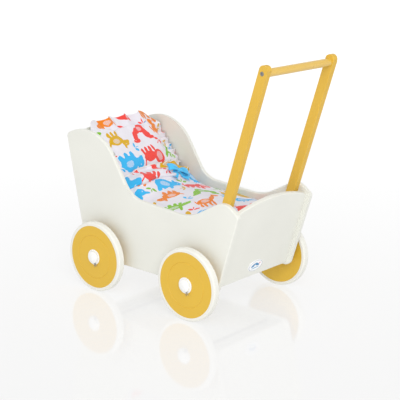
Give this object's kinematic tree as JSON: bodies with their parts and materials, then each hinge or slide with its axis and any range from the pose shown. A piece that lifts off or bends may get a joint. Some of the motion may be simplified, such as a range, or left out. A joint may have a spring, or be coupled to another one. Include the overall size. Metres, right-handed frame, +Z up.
{
  "type": "doll stroller",
  "caption": "Toy doll stroller: painted board tub with a raised hood end, slanting push handle with a round grip, free-rolling disc wheels and loose printed bedding.",
  "frame": {"origin": "on the floor under the middle of the object's box", "axes": "+X towards the handle end, +Y to the pusher's right, +Z up"},
  "size_m": [0.5226, 0.3318, 0.523],
  "materials": {
    "white_board": "satin off-white paint on board with softly rounded edges",
    "yellow_wood": "satin warm yellow paint on solid wood",
    "yellow_board": "satin warm yellow paint on turned board",
    "beech_dowel": "bare fluted beech",
    "white_rubber": "matt white rubber",
    "white_plastic": "moulded white plastic",
    "plated_steel": "zinc-plated steel",
    "badge_plastic": "white plastic with a thin grey border",
    "plain_cotton": "plain woven cotton",
    "print_cotton": "woven white cotton printed with bright animals and leaves",
    "satin_ribbon": "sky-blue satin ribbon"
  },
  "bodies": {
    "root": {"side_panel_left": "white_board", "side_panel_right": "white_board", "foot_panel": "white_board", "head_panel": "white_board", "floor_board": "white_board", "floor_dowels": "beech_dowel", "foot_dowels": "beech_dowel", "head_dowels": "beech_dowel", "handle_bar_left": "yellow_wood", "handle_bar_right": "yellow_wood", "handle_grip": "yellow_wood", "grip_screws": "plated_steel", "handle_bolts": "plated_steel", "handle_insert_nuts": "plated_steel", "oval_badge": "badge_plastic", "front_axle": "plated_steel", "rear_axle": "plated_steel", "axle_spacers": "white_plastic", "hub_caps": "white_plastic", "split_pins": "plated_steel"},
    "wheel_front_left": {"wheel_disc_front_left": "yellow_board", "tyre_front_left": "white_rubber", "hub_bush_front_left": "white_plastic"},
    "wheel_front_right": {"wheel_disc_front_right": "yellow_board", "tyre_front_right": "white_rubber", "hub_bush_front_right": "white_plastic"},
    "wheel_rear_left": {"wheel_disc_rear_left": "yellow_board", "tyre_rear_left": "white_rubber", "hub_bush_rear_left": "white_plastic"},
    "wheel_rear_right": {"wheel_disc_rear_right": "yellow_board", "tyre_rear_right": "white_rubber", "hub_bush_rear_right": "white_plastic"},
    "bedding": {"mattress": "plain_cotton", "pillow": "print_cotton", "pillow_frill": "print_cotton", "duvet": "print_cotton", "ribbon_bow": "satin_ribbon"}
  },
  "joints": [
    {"name": "wheel_front_left_spin", "type": "hinge", "parent": "root", "child": "wheel_front_left", "pos_m": [-0.14635, -0.149, 0.075], "axis": [0, 1, 0], "continuous": true},
    {"name": "wheel_front_right_spin", "type": "hinge", "parent": "root", "child": "wheel_front_right", "pos_m": [-0.14635, 0.149, 0.075], "axis": [0, 1, 0], "continuous": true},
    {"name": "wheel_rear_left_spin", "type": "hinge", "parent": "root", "child": "wheel_rear_left", "pos_m": [0.11065, -0.149, 0.075], "axis": [0, 1, 0], "continuous": true},
    {"name": "wheel_rear_right_spin", "type": "hinge", "parent": "root", "child": "wheel_rear_right", "pos_m": [0.11065, 0.149, 0.075], "axis": [0, 1, 0], "continuous": true},
    {"name": "bedding_lift", "type": "slide", "parent": "root", "child": "bedding", "axis": [0, 0, 1], "range_m": [0, 0.25]}
  ]
}
